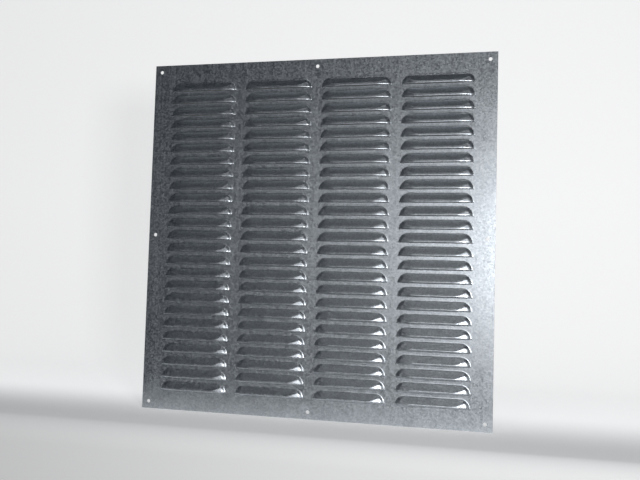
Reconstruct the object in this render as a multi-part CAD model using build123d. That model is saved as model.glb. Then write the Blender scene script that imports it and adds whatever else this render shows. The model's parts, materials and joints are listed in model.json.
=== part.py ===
from build123d import *
from math import cos, hypot, radians, sin, tan
import os

# A galvanised steel ventilation plate: one square of sheet with rows of pressed louvres and a ring
# of screw holes. It stands upright, with X across it and +Z up. The louvres swell out of the front,
# towards -Y, and their mouths open downwards. The origin is the middle of the back face, which lies
# on the wall.

# Sheet, in millimetres
plate_width = 500.0
plate_height = 500.0
sheet_thickness = 0.8

# Screw holes, one in each corner and one in the middle of each side
hole_diameter = 5.0
hole_inset = 10.0

# One louvre, lanced along its lower edge and pressed out of the front of the sheet. Its roof rises
# from the fold to a ridge and a narrow nose falls from there to the lip. Shoulders that lean back
# fall from the ridge towards the two ends, and steep ends run down to the sheet.
louvre_length = 98.0
louvre_height = 12.4
louvre_stand_out = 5.8
nose_height = 2.6
nose_angle = 11.0
shoulder_length = 17.5
shoulder_angle = 13.5
shoulder_lean = 10.0
end_length = 13.0
end_angle = 38.0
end_facets = 3

# Spacing of the louvres
column_gap = 16.0
row_gap = 5.6

# Worked out from the sizes above
roof_slope = louvre_stand_out / (louvre_height - nose_height)
nose_slope = tan(radians(nose_angle))
column_pitch = louvre_length + column_gap
row_pitch = louvre_height + row_gap

# As many louvres as leave a plain border of twice the holes' inset, so that screw heads have room
least_border = 2 * hole_inset
columns = int((plate_width - 2 * least_border + column_gap) // column_pitch)
rows = int((plate_height - 2 * least_border + row_gap) // row_pitch)


def foot_outline():
    """Outline of a louvre on the sheet, with its cut line at y = 0 and its ends carried on below that.

    The rounded ends are drawn as a few flats, so that a hundred louvres stay light.
    """
    round_start = louvre_length / 2 - end_length
    right = []
    for step in range(end_facets + 1):
        turn = radians(90 * step / end_facets)
        right.append((round_start + end_length * cos(turn), louvre_height * sin(turn)))
    (cut_x, cut_y), (next_x, next_y) = right[:2]
    right[0] = (3 * cut_x - 2 * next_x, 3 * cut_y - 2 * next_y)
    left = [(-x, y) for x, y in reversed(right)]
    return Polygon(*right, *left, align=None)


def louvre_form(skin):
    """Solid form of a louvre, drawn with the sheet flat on XY and its front at z = sheet_thickness.

    A skin of 0 gives the outside. A skin of sheet_thickness gives the hollow behind it, which has the
    same faces moved in by that much and starts from the back of the sheet.
    """
    base = sheet_thickness - skin
    ridge = sheet_thickness + louvre_stand_out
    ends_start = sheet_thickness - skin / cos(radians(end_angle))
    ends = Pos(0, 0, ends_start) * extrude(foot_outline(), ridge, taper=90 - end_angle)

    # Roof and nose, seen along the louvre: each is moved in square to itself and they meet on the ridge
    roof_start = ridge + nose_height * roof_slope - skin * hypot(1, roof_slope)
    nose_start = ridge - nose_height * nose_slope - skin * hypot(1, nose_slope)
    ridge_y = (roof_start - nose_start) / (roof_slope + nose_slope)
    section = Polygon(
        (0, base),
        ((roof_start - base) / roof_slope, base),
        (ridge_y, nose_start + ridge_y * nose_slope),
        (0, nose_start),
        align=None,
    )
    roof = extrude(Plane.YZ * section, louvre_length / 2, both=True)

    # Shoulders, seen from the mouth: a gable that sinks as it runs back, from the ends of the ridge
    fall = tan(radians(shoulder_angle))
    lean = tan(radians(shoulder_lean))
    half_length = louvre_length / 2
    gable_end = ridge + nose_height * lean - shoulder_length * fall - skin * hypot(1, fall, lean)
    gable = Polygon(
        (-half_length, base),
        (half_length, base),
        (half_length, gable_end),
        (0, gable_end + half_length * fall),
        (-half_length, gable_end),
        align=None,
    )
    shoulders = extrude(Plane.XZ * gable, louvre_height * hypot(1, lean), dir=(0, 1, -lean))
    return ends & roof & shoulders


def louvre_places():
    """Middle of every louvre's cut line, with the whole field centred on the plate."""
    field_width = columns * column_pitch - column_gap
    field_height = rows * row_pitch - row_gap
    left = -field_width / 2 + louvre_length / 2
    lowest = -field_height / 2
    return [
        Pos(left + column * column_pitch, lowest + row * row_pitch)
        for row in range(rows)
        for column in range(columns)
    ]


def hole_places():
    """Middle of every screw hole: the corners and the middle of each side."""
    across = plate_width / 2 - hole_inset
    upward = plate_height / 2 - hole_inset
    return [
        Pos(x, y)
        for x in (-across, 0, across)
        for y in (-upward, 0, upward)
        if (x, y) != (0, 0)
    ]


def louvre_plate():
    """The whole plate, drawn flat and then stood up with its front towards -Y."""
    sheet = extrude(Rectangle(plate_width, plate_height), sheet_thickness)
    outside = louvre_form(0)
    hollow = louvre_form(sheet_thickness)
    screw_hole = extrude(Circle(hole_diameter / 2), sheet_thickness)
    places = louvre_places()
    pressed = sheet + [place * outside for place in places]
    pierced = [place * hollow for place in places] + [place * screw_hole for place in hole_places()]
    return Plane.XZ * (pressed - pierced)


os.makedirs("parts", exist_ok=True)
export_step(louvre_plate(), "parts/louvre_plate.step")
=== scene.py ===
"""Dresses a louvred ventilation plate of galvanised sheet and sets it on a plain studio stage."""

import json
import math

import bmesh
import bpy
from bpy.props import FloatProperty, FloatVectorProperty, IntProperty, PointerProperty
from mathutils import Matrix, Vector


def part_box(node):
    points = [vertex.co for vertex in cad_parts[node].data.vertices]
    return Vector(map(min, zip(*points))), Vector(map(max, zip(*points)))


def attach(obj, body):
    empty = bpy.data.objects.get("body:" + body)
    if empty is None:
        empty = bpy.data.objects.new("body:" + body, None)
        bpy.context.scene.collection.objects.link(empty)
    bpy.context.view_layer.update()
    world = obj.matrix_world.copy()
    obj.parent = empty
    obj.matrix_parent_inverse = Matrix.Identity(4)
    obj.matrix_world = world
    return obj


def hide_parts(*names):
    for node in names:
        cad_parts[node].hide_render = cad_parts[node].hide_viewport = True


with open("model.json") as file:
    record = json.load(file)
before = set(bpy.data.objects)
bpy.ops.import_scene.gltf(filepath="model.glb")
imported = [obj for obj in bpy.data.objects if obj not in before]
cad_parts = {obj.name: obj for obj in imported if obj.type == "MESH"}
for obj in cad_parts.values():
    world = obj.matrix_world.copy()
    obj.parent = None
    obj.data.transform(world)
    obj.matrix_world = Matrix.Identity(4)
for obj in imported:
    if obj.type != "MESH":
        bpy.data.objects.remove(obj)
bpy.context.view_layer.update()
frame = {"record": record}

bl_info = {
    "name": "Louvred Ventilation Plate",
    "version": (1, 0, 0),
    "blender": (4, 5, 0),
    "location": "View3D > Sidebar > Louvre Plate",
    "description": "Presses a ventilation plate out of galvanised sheet and sets its studio stage",
    "category": "Add Mesh",
}

NODE = "louvre_plate"
BODY = "root"
MM = 0.001

PLATE_LOW, PLATE_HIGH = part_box(NODE)
MOUNTS = {mount["name"]: mount for mount in frame["record"]["mounts"]}
SCREWS = MOUNTS["corner_screws"]["dims"]

# Mesh fineness of one louvre: steps round each end, across the bend at its foot, up its flank and on
# to the lip, and round a screw hole
END_STEPS = 14
BEND_STEPS = 4
FLANK_STEPS = 3
CROWN_STEPS = 7
HOLE_STEPS = 32

# How deep inside the foot a mesh line turns to the lip, as a share of the louvre's height
BROW_SHARE = 0.36
# Crowds the steps of a mesh line towards the round nose
NOSE_CROWDING = 1.5
# Points that agree to this many decimals of a metre are one
SAME_POINT = 7

# Map of the sheet that gives its rolling direction
SHEET_MAP = "sheet"

# How strongly fine grain and soft clouds show in the zinc's tone, and rolling lines in its gloss
GRAIN_SHARE = 0.4
CLOUD_SHARE = 0.35
LINE_SHARE = 0.4


def linear(hex_colour):
    """Linear red, green and blue of an sRGB hex colour."""
    channels = [int(hex_colour[at:at + 2], 16) / 255 for at in (1, 3, 5)]
    return [c / 12.92 if c <= 0.04045 else ((c + 0.055) / 1.055) ** 2.4 for c in channels]


class LouvrePlateSizes(bpy.types.PropertyGroup):
    """Sizes of the sheet and of the louvres pressed out of it."""

    sheet_thickness: FloatProperty(
        name="Sheet thickness",
        description="Thickness of the sheet, which the louvres keep",
        default=0.8 * MM,
        unit="LENGTH",
    )
    columns: IntProperty(name="Columns", description="Louvres across the plate", default=4)
    rows: IntProperty(name="Rows", description="Louvres up the plate", default=25)
    column_pitch: FloatProperty(
        name="Column pitch",
        description="From the middle of one column to the next",
        default=114 * MM,
        unit="LENGTH",
    )
    row_pitch: FloatProperty(
        name="Row pitch",
        description="From one cut line to the next",
        default=18 * MM,
        unit="LENGTH",
    )
    louvre_length: FloatProperty(
        name="Louvre length",
        description="Length of the foot outline along the cut line",
        default=98 * MM,
        unit="LENGTH",
    )
    louvre_height: FloatProperty(
        name="Louvre height",
        description="From the cut line to the top of the foot outline",
        default=12.4 * MM,
        unit="LENGTH",
    )
    stand_out: FloatProperty(
        name="Stand-out",
        description="Height of the nose over the front of the sheet",
        default=5.8 * MM,
        unit="LENGTH",
    )
    end_length: FloatProperty(
        name="End length",
        description="How much of the foot outline is rounded at each end",
        default=13 * MM,
        unit="LENGTH",
    )
    end_angle: FloatProperty(
        name="End angle",
        description="Slope of the two ends at the cut line, from where they steepen upwards",
        default=math.radians(45),
        subtype="ANGLE",
    )
    foot_bend: FloatProperty(
        name="Foot bend",
        description="Reach of the bend at the foot, to each side of the outline",
        default=1.7 * MM,
        unit="LENGTH",
    )
    end_bend: FloatProperty(
        name="End bend",
        description="Reach of the bend at the foot of the two ends",
        default=1.1 * MM,
        unit="LENGTH",
    )
    hip_bend: FloatProperty(
        name="Hip bend",
        description="Depth of the bend where roof and shoulders meet",
        default=0.4 * MM,
        unit="LENGTH",
    )
    end_hip_bend: FloatProperty(
        name="End hip bend",
        description="Depth of the bend where roof and shoulders meet the ends",
        default=1.8 * MM,
        unit="LENGTH",
    )
    nose_radius: FloatProperty(
        name="Nose radius",
        description="Radius of the round nose along the lip",
        default=3.2 * MM,
        unit="LENGTH",
    )
    nose_curl: FloatProperty(
        name="Nose curl",
        description="How far the nose curls back under before the lip is cut",
        default=math.radians(35),
        subtype="ANGLE",
    )
    shoulder_length: FloatProperty(
        name="Shoulder length",
        description="Part of the louvre at each end over which its nose falls",
        default=19 * MM,
        unit="LENGTH",
    )
    shoulder_angle: FloatProperty(
        name="Shoulder angle",
        description="Mean slope of the shoulders towards the two ends",
        default=math.radians(11.5),
        subtype="ANGLE",
    )
    shoulder_lean: FloatProperty(
        name="Shoulder lean",
        description="How far the shoulders lean back against the sheet",
        default=math.radians(7),
        subtype="ANGLE",
    )


class ZincFinish(bpy.types.PropertyGroup):
    """Colours and grain of the zinc coat."""

    light_zinc: FloatVectorProperty(
        name="Light zinc",
        description="Colour of the brighter crystals",
        default=linear("#DCE1E6"),
        subtype="COLOR",
    )
    dark_zinc: FloatVectorProperty(
        name="Dark zinc",
        description="Colour of the duller crystals",
        default=linear("#9AA1A8"),
        subtype="COLOR",
    )
    spangle_size: FloatProperty(
        name="Spangle size",
        description="Width of one zinc crystal",
        default=1.9 * MM,
        unit="LENGTH",
    )
    cloud_size: FloatProperty(
        name="Cloud size",
        description="Width of the soft clouds in the coat",
        default=30 * MM,
        unit="LENGTH",
    )
    wave_size: FloatProperty(
        name="Wave size",
        description="Length of the shallow waves that the press leaves in the sheet",
        default=70 * MM,
        unit="LENGTH",
    )
    wave_depth: FloatProperty(
        name="Wave depth",
        description="Depth of the shallow waves",
        default=0.3 * MM,
        unit="LENGTH",
    )
    # Real rolling lines and pits are tenths of a millimetre wide, too fine to show in the render, so
    # both are drawn coarser
    line_width: FloatProperty(
        name="Line width",
        description="Width of the faint lines that rolling leaves up the sheet",
        default=3 * MM,
        unit="LENGTH",
    )
    line_length: FloatProperty(
        name="Line length",
        description="Length of the faint lines that rolling leaves up the sheet",
        default=150 * MM,
        unit="LENGTH",
    )
    grain_size: FloatProperty(
        name="Grain size",
        description="Width of the fine pits of the coat",
        default=1.5 * MM,
        unit="LENGTH",
    )
    pit_depth: FloatProperty(
        name="Pit depth",
        description="Depth of the fine pits of the coat",
        default=0.03 * MM,
        unit="LENGTH",
    )
    roughness: FloatProperty(
        name="Roughness",
        description="Middle roughness of the coat",
        default=0.43,
        min=0.0,
        max=1.0,
        subtype="FACTOR",
    )
    gloss_spread: FloatProperty(
        name="Gloss spread",
        description="How far the roughness of crystals and rolling lines strays from the middle",
        default=0.16,
        min=0.0,
        max=1.0,
        subtype="FACTOR",
    )
    rolling: FloatProperty(
        name="Rolling",
        description="How much wider a lamp spreads across the sheet than along its rolling direction",
        default=0.41,
        min=0.0,
        max=1.0,
        subtype="FACTOR",
    )


class StudioStage(bpy.types.PropertyGroup):
    """Paper, cards of painted shade, lamps, surroundings and camera of the picture."""

    floor_colour: FloatVectorProperty(
        name="Floor colour",
        description="Colour of the floor and backdrop",
        default=linear("#E6E6E6"),
        subtype="COLOR",
    )
    # Painted light: the paper's glow is dimmer on the floor before the plate and brighter towards the
    # backdrop
    floor_glow: FloatProperty(
        name="Floor glow",
        description="Share of white that the floor before the plate shows without a lamp",
        default=0.35,
        min=0.0,
        max=1.0,
        subtype="FACTOR",
    )
    backdrop_glow: FloatProperty(
        name="Backdrop glow",
        description="Share of white that the backdrop shows without a lamp",
        default=0.9,
        min=0.0,
        max=1.0,
        subtype="FACTOR",
    )
    glow_start: FloatProperty(
        name="Glow start",
        description="Depth from which the paper brightens towards the backdrop",
        default=-0.1,
        unit="LENGTH",
    )
    glow_end: FloatProperty(
        name="Glow end",
        description="Depth at which the paper is as bright as the backdrop",
        default=0.2,
        unit="LENGTH",
    )
    # Cards behind the louvres: a dim glow to the camera is painted shade in the mouths, a brighter glow
    # to the metal is painted light coming in at the mouths
    shade_card_gap: FloatProperty(
        name="Shade card gap",
        description="From the back of the plate to the cards behind the louvres",
        default=1 * MM,
        unit="LENGTH",
    )
    painted_shade_glow: FloatProperty(
        name="Painted shade glow",
        description="Share of white that the cards behind the louvres show through their mouths",
        default=0.08,
        min=0.0,
        max=1.0,
        subtype="FACTOR",
    )
    painted_mouth_light: FloatProperty(
        name="Painted mouth light",
        description="Share of white that the metal mirrors of the cards behind the louvres",
        default=0.4,
        min=0.0,
        max=1.0,
        subtype="FACTOR",
    )
    floor_reach: FloatProperty(
        name="Floor reach",
        description="From the plate to the front edge of the plinth",
        default=0.16,
        unit="LENGTH",
    )
    key_power: FloatProperty(
        name="Key power",
        description="Power of the soft lamp beside the camera",
        default=8.2,
        unit="POWER",
    )
    key_width: FloatProperty(
        name="Key width",
        description="Width of the soft lamp beside the camera",
        default=0.15,
        unit="LENGTH",
    )
    key_height: FloatProperty(
        name="Key height",
        description="Height of the soft lamp beside the camera",
        default=0.12,
        unit="LENGTH",
    )
    key_place: FloatVectorProperty(
        name="Key place",
        description="Middle of the soft lamp beside the camera",
        default=(0.55, -1.20, 0.03),
        subtype="XYZ",
        unit="LENGTH",
    )
    top_power: FloatProperty(
        name="Top power",
        description="Power of the soft lamp over the front",
        default=1.6,
        unit="POWER",
    )
    top_width: FloatProperty(
        name="Top width",
        description="Width and height of the soft lamp over the front",
        default=0.5,
        unit="LENGTH",
    )
    top_place: FloatVectorProperty(
        name="Top place",
        description="Middle of the soft lamp over the front",
        default=(0.08, -1.27, 1.6),
        subtype="XYZ",
        unit="LENGTH",
    )
    room_colour: FloatVectorProperty(
        name="Room colour",
        description="Colour of the light that comes from all round",
        default=linear("#C9DDF0"),
        subtype="COLOR",
    )
    room_before: FloatProperty(
        name="Room before",
        description="Strength of the light from all round before the plate",
        default=0.036,
        min=0.0,
        max=1.0,
        subtype="FACTOR",
    )
    room_behind: FloatProperty(
        name="Room behind",
        description="Strength of the light from all round behind the plate",
        default=0.6,
        min=0.0,
        max=1.0,
        subtype="FACTOR",
    )
    camera_place: FloatVectorProperty(
        name="Camera place",
        description="Where the camera stands",
        default=(0.36825, -1.20597, -0.06441),
        subtype="XYZ",
        unit="LENGTH",
    )
    camera_aim: FloatVectorProperty(
        name="Camera aim",
        description="Point of the plate that the lens looks at",
        default=(0.00963, 0.0, 0.02493),
        subtype="XYZ",
        unit="LENGTH",
    )
    camera_roll: FloatProperty(
        name="Camera roll",
        description="Turn of the camera about its own axis",
        default=math.radians(1.658),
        subtype="ANGLE",
    )
    lens: FloatProperty(
        name="Lens",
        description="Focal length of the camera in millimetres",
        default=51.202,
        unit="CAMERA",
    )
    shift: FloatProperty(
        name="Shift",
        description="Rise of the frame over the lens axis, as a share of its width",
        default=-0.03285,
    )


def add_node(tree, kind, settings, sockets):
    """Adds a node, sets its properties, and fills each socket with a value or a link.

    Sockets that share a name go by number: in a Mix node 0 is the share, 2 and 3 are the two numbers
    that it mixes, and 6 and 7 the two colours.
    """
    node = tree.nodes.new(kind)
    for name, value in settings.items():
        setattr(node, name, value)
    for name, value in sockets.items():
        if isinstance(value, bpy.types.NodeSocket):
            tree.links.new(value, node.inputs[name])
        else:
            node.inputs[name].default_value = value
    return node


def new_material(name):
    """An empty node material."""
    material = bpy.data.materials.new(name)
    material.use_nodes = True
    material.node_tree.nodes.clear()
    return material


def galvanised_sheet(finish):
    """Hot-dip galvanised sheet steel.

    The zinc freezes in crystals of about two millimetres that differ a little in tone and gloss, so the
    satin grey looks mottled, and its finely pitted skin spreads a lamp into a wide soft glow. Rolling
    leaves faint lines up the sheet and spreads the glow across them, and the press leaves shallow
    waves in which the glow wanders.
    """
    material = new_material("galvanised_sheet_hot_dipped")
    tree = material.node_tree
    place = add_node(tree, "ShaderNodeTexCoord", {}, {}).outputs["Object"]
    crystals = add_node(
        tree,
        "ShaderNodeTexVoronoi",
        {},
        {"Vector": place, "Scale": 1 / finish.spangle_size},
    )
    crystal = add_node(
        tree, "ShaderNodeSeparateColor", {}, {"Color": crystals.outputs["Color"]}
    )
    clouds = add_node(
        tree,
        "ShaderNodeTexNoise",
        {},
        {"Vector": place, "Scale": 1 / finish.cloud_size, "Detail": 4.0, "Roughness": 0.6},
    )
    grain = add_node(
        tree,
        "ShaderNodeTexNoise",
        {},
        {"Vector": place, "Scale": 1 / finish.grain_size, "Detail": 2.0, "Roughness": 0.6},
    )
    mottle = add_node(
        tree,
        "ShaderNodeMix",
        {"data_type": "FLOAT"},
        {0: GRAIN_SHARE, 2: crystal.outputs["Red"], 3: grain.outputs["Fac"]},
    )
    tone = add_node(
        tree,
        "ShaderNodeMix",
        {"data_type": "FLOAT"},
        {0: CLOUD_SHARE, 2: mottle.outputs[0], 3: clouds.outputs["Fac"]},
    )
    colour = add_node(
        tree,
        "ShaderNodeMix",
        {"data_type": "RGBA"},
        {0: tone.outputs[0], 6: (*finish.dark_zinc, 1.0), 7: (*finish.light_zinc, 1.0)},
    )
    line_scale = (1 / finish.line_width, 1 / finish.line_width, 1 / finish.line_length)
    along_rolling = add_node(
        tree, "ShaderNodeMapping", {}, {"Vector": place, "Scale": line_scale}
    )
    lines = add_node(
        tree,
        "ShaderNodeTexNoise",
        {},
        {"Vector": along_rolling.outputs["Vector"], "Scale": 1.0, "Detail": 2.0, "Roughness": 0.5},
    )
    shine = add_node(
        tree,
        "ShaderNodeMix",
        {"data_type": "FLOAT"},
        {0: LINE_SHARE, 2: crystal.outputs["Green"], 3: lines.outputs["Fac"]},
    )
    gloss = add_node(
        tree,
        "ShaderNodeMapRange",
        {},
        {
            "Value": shine.outputs[0],
            "To Min": finish.roughness - finish.gloss_spread,
            "To Max": finish.roughness + finish.gloss_spread,
        },
    )
    waves = add_node(
        tree,
        "ShaderNodeTexNoise",
        {},
        {"Vector": place, "Scale": 1 / finish.wave_size, "Detail": 1.0, "Roughness": 0.4},
    )
    buckled = add_node(
        tree,
        "ShaderNodeBump",
        {},
        {"Strength": 1.0, "Distance": finish.wave_depth, "Height": waves.outputs["Fac"]},
    )
    pits = add_node(
        tree,
        "ShaderNodeBump",
        {},
        {
            "Strength": 0.4,
            "Distance": finish.pit_depth,
            "Height": grain.outputs["Fac"],
            "Normal": buckled.outputs["Normal"],
        },
    )
    across = add_node(
        tree, "ShaderNodeTangent", {"direction_type": "UV_MAP", "uv_map": SHEET_MAP}, {}
    )
    shader = add_node(
        tree,
        "ShaderNodeBsdfPrincipled",
        {},
        {
            "Base Color": colour.outputs[2],
            "Metallic": 1.0,
            "Roughness": gloss.outputs["Result"],
            "Anisotropic": finish.rolling,
            "Tangent": across.outputs["Tangent"],
            "Normal": pits.outputs["Normal"],
        },
    )
    add_node(tree, "ShaderNodeOutputMaterial", {}, {"Surface": shader.outputs["BSDF"]})
    return material


def eased_rise(depth, reach):
    """Zero outside an outline and the depth itself inside it, with a bend of the given reach between."""
    if depth <= -reach:
        return 0.0
    if depth >= reach:
        return depth
    return (depth + reach) ** 2 / (4 * reach)


def eased_lower(first, second, reach):
    """The lower of two heights, with the corner between them rounded off, less so near the sheet."""
    reach = min(reach, (first + second) / 2)
    overlap = reach - abs(first - second)
    if overlap <= 0:
        return min(first, second)
    return min(first, second) - overlap * overlap / (4 * reach)


def depth_inside_foot(sizes, across, up):
    """About how far a point of the sheet lies inside a louvre's foot outline; negative outside it."""
    past = abs(across) - sizes.louvre_length / 2 + sizes.end_length
    if past <= 0 or up <= 0:
        return min(sizes.louvre_height - up, sizes.end_length - past)
    part_across = past / sizes.end_length
    part_up = up / sizes.louvre_height
    share = math.hypot(part_across, part_up)
    growth = math.hypot(part_across / sizes.end_length, part_up / sizes.louvre_height)
    return (1 - share) * share / growth


def roof_angle(sizes):
    """Slope of the roof that runs from the foot outline into the nose at the given stand-out.

    The range that holds it is halved until it is as good as a point.
    """
    low = 0.0
    high = math.radians(60)
    halvings = 40
    for _ in range(halvings):
        middle = (low + high) / 2
        run = sizes.louvre_height - sizes.nose_radius * (math.sin(sizes.nose_curl) + math.sin(middle))
        top = run * math.tan(middle) + sizes.nose_radius * (1 - math.cos(middle))
        if top < sizes.stand_out:
            low = middle
        else:
            high = middle
    return low


def louvre_rise(sizes, slope, across, up):
    """Height of a louvre's outer skin over the front of the sheet, for a roof of the given slope."""
    radius = sizes.nose_radius
    from_ridge = up - radius * math.sin(sizes.nose_curl)
    if from_ridge < radius * math.sin(slope):
        roof = sizes.stand_out - radius + math.sqrt(radius ** 2 - from_ridge ** 2)
    else:
        roof = math.tan(slope) * eased_rise(sizes.louvre_height - up, sizes.foot_bend)
    # A shoulder starts at two thirds of its mean slope and steepens towards the end
    past = abs(across) - sizes.louvre_length / 2 + sizes.shoulder_length
    steepening = (2 + max(past, 0.0) / sizes.shoulder_length) / 3
    shoulder = sizes.stand_out - math.tan(sizes.shoulder_angle) * steepening * past
    shoulder -= math.tan(sizes.shoulder_lean) * max(from_ridge, 0.0)
    shoulder -= radius - math.sqrt(radius ** 2 - min(from_ridge, 0.0) ** 2)
    # An end steepens by half on its way round to the top of the outline
    depth = depth_inside_foot(sizes, across, up)
    end = math.tan(sizes.end_angle) * eased_rise(depth, sizes.end_bend)
    end *= 1 + up / (2 * sizes.louvre_height)
    rise = eased_lower(eased_lower(roof, shoulder, sizes.hip_bend), end, sizes.end_hip_bend)
    return max(rise, 0.0)


def foot_lines(sizes):
    """Starts of the mesh lines on the foot outline, from the right end of the cut round to the left.

    Each is a point of the outline and its outward heading.
    """
    round_start = sizes.louvre_length / 2 - sizes.end_length
    right = []
    for step in range(END_STEPS + 1):
        turn = math.pi / 2 * step / END_STEPS
        across = round_start + sizes.end_length * math.cos(turn)
        up = sizes.louvre_height * math.sin(turn)
        heading = math.atan2(sizes.end_length * math.sin(turn), sizes.louvre_height * math.cos(turn))
        right.append((across, up, heading))
    left = [(-across, up, math.pi - heading) for across, up, heading in right]
    return right + left[::-1]


def louvre_grid(sizes, slope):
    """Plan points of one louvre, a list for each mesh line, from the sheet round it to the cut line.

    A line crosses the foot square to the outline and then runs along the hip of roof and shoulder. Its
    first point lies on flat sheet, so that the shading of the bend ends there.
    """
    bend = sizes.foot_bend
    brow = sizes.louvre_height * BROW_SHARE
    hip_run = (math.tan(slope) - math.tan(sizes.shoulder_lean)) / math.tan(sizes.shoulder_angle)
    depths = [bend * (2 * step / BEND_STEPS - 1) for step in range(BEND_STEPS + 1)]
    depths += [bend + (brow - bend) * step / FLANK_STEPS for step in range(1, FLANK_STEPS + 1)]
    grid = []
    for across, up, heading in foot_lines(sizes):
        margin = min(up, bend)
        line = []
        for depth in [-bend - margin] + depths:
            line.append((across - depth * math.cos(heading), up - depth * math.sin(heading)))
        brow_across, brow_up = line[-1]
        for step in range(1, CROWN_STEPS + 1):
            crown_up = brow_up * (1 - step / CROWN_STEPS) ** NOSE_CROWDING
            run = math.copysign(hip_run * (brow_up - crown_up), across)
            line.append((brow_across - run, crown_up))
        grid.append(line)
    return grid


def louvre_skins(sizes):
    """Outer and inner skin of one louvre: (across, up, rise) points on the same grid.

    The inner skin lies one sheet thickness behind the outer one, measured square to it.
    """
    slope = roof_angle(sizes)
    nudge = 0.01 * MM
    outer = []
    inner = []
    for line in louvre_grid(sizes, slope):
        outer_line = []
        inner_line = []
        for across, up in line:
            tilt_across = louvre_rise(sizes, slope, across + nudge, up)
            tilt_across -= louvre_rise(sizes, slope, across - nudge, up)
            tilt_up = louvre_rise(sizes, slope, across, up + nudge)
            tilt_up -= louvre_rise(sizes, slope, across, up - nudge)
            if up < nudge:
                up = 0.0
                tilt_up = max(tilt_up, 0.0)
            square = Vector((-tilt_across, -tilt_up, 2 * nudge)).normalized()
            point = Vector((across, up, louvre_rise(sizes, slope, across, up)))
            outer_line.append(point)
            inner_line.append(point - sizes.sheet_thickness * square)
        outer.append(outer_line)
        inner.append(inner_line)
    return outer, inner


def unlike(corners):
    """The corners of a face without those that fall together."""
    kept = []
    for corner in corners:
        if corner not in kept:
            kept.append(corner)
    return kept


def add_face(bm, corners, smooth):
    """Adds a face, unless its corners have closed up to a line."""
    kept = unlike(corners)
    if len(kept) > 2:
        bm.faces.new(kept).smooth = smooth


def press_louvre(bm, skins, front, offset):
    """Adds one louvre to the sheet and returns the edges of its hole in the front and in the back."""
    layers = []
    for skin in skins:
        places = {}
        layer = []
        for line in skin:
            row = []
            for across, up, rise in line:
                key = tuple(round(part, SAME_POINT) for part in (across, up, rise))
                if key not in places:
                    at = Vector((across, front - rise, up)) + offset
                    places[key] = bm.verts.new(at)
                row.append(places[key])
            layer.append(row)
        for line, following in zip(layer, layer[1:]):
            for step in range(len(line) - 1):
                corners = [line[step], line[step + 1], following[step + 1], following[step]]
                add_face(bm, corners, True)
        layers.append(layer)
    lips = []
    for layer in layers:
        lips.append(unlike(layer[0] + [line[-1] for line in layer[1:-1]] + layer[-1][::-1]))
    outer_lip, inner_lip = lips
    for step in range(len(outer_lip) - 1):
        corners = [outer_lip[step], outer_lip[step + 1], inner_lip[step + 1], inner_lip[step]]
        add_face(bm, corners, False)
    add_face(bm, [outer_lip[0], outer_lip[-1], inner_lip[-1], inner_lip[0]], False)
    holes = []
    for layer in layers:
        ring = unlike([line[0] for line in layer])
        holes.append([bm.edges.get(pair) for pair in zip(ring, ring[1:] + ring[:1])])
    return holes


def add_wall(bm, outline, front, smooth):
    """Adds a wall through the sheet along an outline, and returns its front and back edges."""
    rings = []
    for depth in (front, PLATE_HIGH.y):
        rings.append([bm.verts.new((across, depth, up)) for across, up in outline])
    for step in range(len(outline)):
        before = step - 1
        corners = [rings[0][before], rings[0][step], rings[1][step], rings[1][before]]
        add_face(bm, corners, smooth)
    return [[bm.edges.get(pair) for pair in zip(ring, ring[1:] + ring[:1])] for ring in rings]


def louvre_offsets(sizes):
    """Middle of the cut line of each louvre, the field centred on the plate."""
    middle = (PLATE_LOW + PLATE_HIGH) / 2
    field_height = (sizes.rows - 1) * sizes.row_pitch + sizes.louvre_height
    for column in range(sizes.columns):
        across = middle.x + (column - (sizes.columns - 1) / 2) * sizes.column_pitch
        for row in range(sizes.rows):
            yield Vector((across, 0.0, middle.z - field_height / 2 + row * sizes.row_pitch))


def screw_places():
    """Middles of the screw holes: the four corners and the middle of each side."""
    half_across = SCREWS["spacing_x_mm"] * MM / 2
    half_up = SCREWS["spacing_y_mm"] * MM / 2
    for across in (-half_across, 0.0, half_across):
        for up in (-half_up, 0.0, half_up):
            if across or up:
                yield across, up


def plate_mesh(sizes):
    """The whole plate as one closed mesh."""
    front = PLATE_HIGH.y - sizes.sheet_thickness
    skins = louvre_skins(sizes)
    bm = bmesh.new()
    front_edges = []
    back_edges = []
    for offset in louvre_offsets(sizes):
        front_hole, back_hole = press_louvre(bm, skins, front, offset)
        front_edges += front_hole
        back_edges += back_hole
    outlines = [[
        (PLATE_LOW.x, PLATE_LOW.z),
        (PLATE_HIGH.x, PLATE_LOW.z),
        (PLATE_HIGH.x, PLATE_HIGH.z),
        (PLATE_LOW.x, PLATE_HIGH.z),
    ]]
    radius = SCREWS["hole_r_mm"] * MM
    for across, up in screw_places():
        turns = [math.tau * step / HOLE_STEPS for step in range(HOLE_STEPS)]
        outlines.append(
            [(across + radius * math.cos(turn), up + radius * math.sin(turn)) for turn in turns]
        )
    for outline in outlines:
        round_wall = len(outline) == HOLE_STEPS
        front_hole, back_hole = add_wall(bm, outline, front, round_wall)
        front_edges += front_hole
        back_edges += back_hole
    for edges in (front_edges, back_edges):
        bmesh.ops.triangle_fill(bm, use_beauty=True, use_dissolve=False, edges=edges)
    bmesh.ops.recalc_face_normals(bm, faces=bm.faces)
    sheet_map = bm.loops.layers.uv.new(SHEET_MAP)
    for face in bm.faces:
        for loop in face.loops:
            loop[sheet_map].uv = (loop.vert.co.x, loop.vert.co.z)
    mesh = bpy.data.meshes.new("pressed_louvre_plate")
    bm.to_mesh(mesh)
    bm.free()
    return mesh


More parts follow.
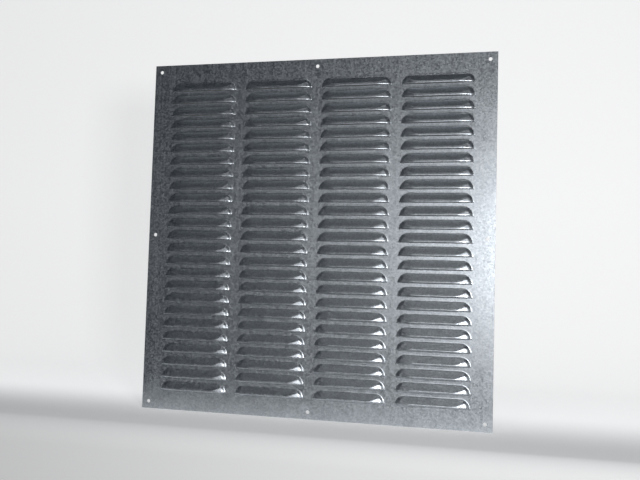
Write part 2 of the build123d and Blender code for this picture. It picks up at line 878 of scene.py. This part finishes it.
class LOUVREPLATE_OT_press_plate(bpy.types.Operator):
    """Presses the plate: one sheet with its louvres, their mouths and the screw holes"""

    bl_idname = "louvre_plate.press_plate"
    bl_label = "Press plate"

    def execute(self, context):
        scene = context.scene
        mesh = plate_mesh(scene.louvre_plate_sizes)
        mesh.materials.append(galvanised_sheet(scene.louvre_plate_finish))
        plate = bpy.data.objects.new("pressed_louvre_plate", mesh)
        scene.collection.objects.link(plate)
        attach(plate, BODY)
        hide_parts(NODE)
        return {"FINISHED"}


def one_sided(tree, surface):
    """Shows a surface from its front alone, so that what stands before it can be seen from behind."""
    back = add_node(tree, "ShaderNodeNewGeometry", {}, {}).outputs["Backfacing"]
    clear = add_node(tree, "ShaderNodeBsdfTransparent", {}, {}).outputs["BSDF"]
    either = add_node(tree, "ShaderNodeMixShader", {}, {0: back, 1: surface, 2: clear})
    add_node(tree, "ShaderNodeOutputMaterial", {}, {"Surface": either.outputs["Shader"]})


def studio_paper_with_painted_falloff(stage):
    """Pale matt studio paper, which shows soft shadows and no shine.

    Wherever it is looked at or mirrored it adds a glow, a share of white that grows towards the
    backdrop: painted light, dimmer on the floor before the plate and brighter behind it.
    """
    material = new_material("studio_paper_painted_falloff")
    tree = material.node_tree
    paper = add_node(
        tree, "ShaderNodeBsdfDiffuse", {}, {"Color": (*stage.floor_colour, 1.0)}
    ).outputs["BSDF"]
    path = add_node(tree, "ShaderNodeLightPath", {}, {})
    seen = path.outputs["Is Camera Ray"]
    for ray in ("Is Glossy Ray", "Is Transmission Ray"):
        seen = add_node(
            tree, "ShaderNodeMath", {"operation": "MAXIMUM"}, {0: seen, 1: path.outputs[ray]}
        ).outputs[0]
    place = add_node(tree, "ShaderNodeTexCoord", {}, {}).outputs["Object"]
    depth = add_node(tree, "ShaderNodeSeparateXYZ", {}, {"Vector": place}).outputs["Y"]
    # Painted falloff of light: the glow is dimmer on the floor before the plate and brighter towards the
    # backdrop
    share = add_node(
        tree,
        "ShaderNodeMapRange",
        {"interpolation_type": "SMOOTHSTEP"},
        {
            "Value": depth,
            "From Min": stage.glow_start,
            "From Max": stage.glow_end,
            "To Min": stage.floor_glow,
            "To Max": stage.backdrop_glow,
        },
    ).outputs["Result"]
    strength = add_node(
        tree, "ShaderNodeMath", {"operation": "MULTIPLY"}, {0: seen, 1: share}
    ).outputs[0]
    glow = add_node(
        tree,
        "ShaderNodeEmission",
        {},
        {"Color": (*stage.floor_colour, 1.0), "Strength": strength},
    ).outputs["Emission"]
    both = add_node(tree, "ShaderNodeAddShader", {}, {0: paper, 1: glow}).outputs["Shader"]
    one_sided(tree, both)
    return material


def painted_shade_card_material(stage):
    """Painted shade: a glowing card, even all over, which looks to the camera as dim as the duct
    behind a fitted plate, in place of the shade behind the louvres.

    To the metal it glows brighter, a painted reflection of light coming in at the mouths.
    """
    material = new_material("painted_shade_and_mouth_light")
    tree = material.node_tree
    looked_at = add_node(tree, "ShaderNodeLightPath", {}, {}).outputs["Is Camera Ray"]
    # Painted shade for the camera, painted light for the metal's reflections
    share = add_node(
        tree,
        "ShaderNodeMapRange",
        {},
        {"Value": looked_at, "To Min": stage.painted_mouth_light, "To Max": stage.painted_shade_glow},
    ).outputs["Result"]
    card = add_node(
        tree,
        "ShaderNodeEmission",
        {},
        {"Color": (*stage.floor_colour, 1.0), "Strength": share},
    ).outputs["Emission"]
    one_sided(tree, card)
    return material


def add_stage_mesh(scene, name, bm, material):
    """Turns a drawn mesh into an object of the stage."""
    mesh = bpy.data.meshes.new(name)
    bm.to_mesh(mesh)
    bm.free()
    mesh.materials.append(material)
    sheet = bpy.data.objects.new(name, mesh)
    scene.collection.objects.link(sheet)


def aim(place, target):
    """Turn of an object that stands at a place and looks at a target, upright."""
    return (Vector(target) - Vector(place)).to_track_quat("-Z", "Y").to_matrix().to_4x4()


class LOUVREPLATE_OT_set_stage(bpy.types.Operator):
    """Sets the stage: paper sweep, cards of painted shade behind the louvres, lamps, surroundings and
    camera
    """

    bl_idname = "louvre_plate.set_stage"
    bl_label = "Set stage"

    def execute(self, context):
        scene = context.scene
        stage = scene.louvre_plate_stage
        scene.view_settings.view_transform = "Standard"
        self.lay_paper(scene, stage)
        self.paint_shade_behind_louvres(scene, stage)
        self.hang_lamp(
            scene, "soft_key", stage.key_place, stage.key_power, stage.key_width, stage.key_height
        )
        self.hang_lamp(
            scene, "soft_top", stage.top_place, stage.top_power, stage.top_width, stage.top_width
        )
        self.dim_surroundings(scene, stage)
        self.place_camera(scene, stage)
        return {"FINISHED"}

    def lay_paper(self, scene, stage):
        """Paper over a plinth: its front, a floor under the plate's lower edge, and a wall behind."""
        floor = PLATE_LOW.z
        front = -stage.floor_reach
        # Heights, depths and radii of the paper, in metres
        drop = 0.8
        edge = 0.03
        back = 0.5
        sweep = 0.4
        wall = 1.6
        half_width = 2.0
        steps = 16
        turns = [math.pi / 2 * step / steps for step in range(steps + 1)]
        profile = [(front, floor - drop)]
        for turn in turns:
            profile.append(
                (front + edge * (1 - math.cos(turn)), floor - edge * (1 - math.sin(turn)))
            )
        for turn in turns:
            profile.append((back + sweep * math.sin(turn), floor + sweep * (1 - math.cos(turn))))
        profile.append((back + sweep, floor + wall))
        bm = bmesh.new()
        lines = []
        for depth, height in profile:
            lines.append([bm.verts.new((side * half_width, depth, height)) for side in (-1, 1)])
        for line, following in zip(lines, lines[1:]):
            bm.faces.new([line[0], line[1], following[1], following[0]]).smooth = True
        add_stage_mesh(scene, "paper_sweep", bm, studio_paper_with_painted_falloff(stage))

    def paint_shade_behind_louvres(self, scene, stage):
        """A card of painted shade close behind each louvre, which its mouth looks at."""
        sizes = scene.louvre_plate_sizes
        half = sizes.louvre_length / 2
        corners = [(-half, 0), (half, 0), (half, sizes.louvre_height), (-half, sizes.louvre_height)]
        bm = bmesh.new()
        for offset in louvre_offsets(sizes):
            bm.faces.new(
                [bm.verts.new(offset + Vector((across, stage.shade_card_gap, up))) for across, up in corners]
            )
        add_stage_mesh(scene, "painted_shade_cards", bm, painted_shade_card_material(stage))

    def hang_lamp(self, scene, name, place, power, width, height):
        """A soft rectangular lamp that looks at the middle of the plate and isn't seen itself."""
        data = bpy.data.lights.new(name, "AREA")
        data.shape = "RECTANGLE"
        data.size = width
        data.size_y = height
        data.energy = power
        lamp = bpy.data.objects.new(name, data)
        lamp.matrix_world = Matrix.Translation(place) @ aim(place, (0, 0, 0))
        lamp.visible_camera = False
        scene.collection.objects.link(lamp)

    def dim_surroundings(self, scene, stage):
        """A cool room, dim before the plate and to its sides and paler the further behind it."""
        # How far a heading points straight behind, 1 being fully, where the room is at its palest
        full_light = 0.7
        world = bpy.data.worlds.new("studio_room")
        world.use_nodes = True
        tree = world.node_tree
        tree.nodes.clear()
        heading = add_node(tree, "ShaderNodeTexCoord", {}, {}).outputs["Generated"]
        parts = add_node(tree, "ShaderNodeSeparateXYZ", {}, {"Vector": heading})
        strength = add_node(
            tree,
            "ShaderNodeMapRange",
            {},
            {
                "Value": parts.outputs["Y"],
                "From Min": 0.0,
                "From Max": full_light,
                "To Min": stage.room_before,
                "To Max": stage.room_behind,
            },
        )
        light = add_node(
            tree,
            "ShaderNodeBackground",
            {},
            {"Color": (*stage.room_colour, 1.0), "Strength": strength.outputs["Result"]},
        )
        add_node(tree, "ShaderNodeOutputWorld", {}, {"Surface": light.outputs["Background"]})
        scene.world = world

    def place_camera(self, scene, stage):
        """The camera, low and to the right, at the angle of the photograph."""
        data = bpy.data.cameras.new("camera")
        data.sensor_width = 36.0
        data.lens = stage.lens
        data.shift_y = stage.shift
        camera = bpy.data.objects.new("camera", data)
        turn = aim(stage.camera_place, stage.camera_aim) @ Matrix.Rotation(stage.camera_roll, 4, "Z")
        camera.matrix_world = Matrix.Translation(stage.camera_place) @ turn
        scene.collection.objects.link(camera)
        scene.camera = camera


class LOUVREPLATE_PT_panel(bpy.types.Panel):
    """Lists the plate's sizes, finish and stage, and the steps that make them"""

    bl_label = "Louvre Plate"
    bl_idname = "LOUVREPLATE_PT_panel"
    bl_space_type = "VIEW_3D"
    bl_region_type = "UI"
    bl_category = "Louvre Plate"

    def draw(self, context):
        layout = self.layout
        scene = context.scene
        groups = (
            (scene.louvre_plate_sizes, None),
            (scene.louvre_plate_finish, LOUVREPLATE_OT_press_plate),
            (scene.louvre_plate_stage, LOUVREPLATE_OT_set_stage),
        )
        for group, step in groups:
            column = layout.column()
            for name in group.bl_rna.properties.keys():
                if name not in ("rna_type", "name"):
                    column.prop(group, name)
            if step:
                layout.operator(step.bl_idname)


CLASSES = (
    LouvrePlateSizes,
    ZincFinish,
    StudioStage,
    LOUVREPLATE_OT_press_plate,
    LOUVREPLATE_OT_set_stage,
    LOUVREPLATE_PT_panel,
)


def register():
    """Registers the classes and hangs their values on the scene."""
    for cls in CLASSES:
        bpy.utils.register_class(cls)
    bpy.types.Scene.louvre_plate_sizes = PointerProperty(type=LouvrePlateSizes)
    bpy.types.Scene.louvre_plate_finish = PointerProperty(type=ZincFinish)
    bpy.types.Scene.louvre_plate_stage = PointerProperty(type=StudioStage)


def unregister():
    """Takes the values off the scene and the classes out again."""
    del bpy.types.Scene.louvre_plate_stage
    del bpy.types.Scene.louvre_plate_finish
    del bpy.types.Scene.louvre_plate_sizes
    for cls in reversed(CLASSES):
        bpy.utils.unregister_class(cls)


def main():
    """Makes the plate and the stage."""
    register()
    bpy.ops.louvre_plate.press_plate()
    bpy.ops.louvre_plate.set_stage()


if __name__ == "__main__":
    main()
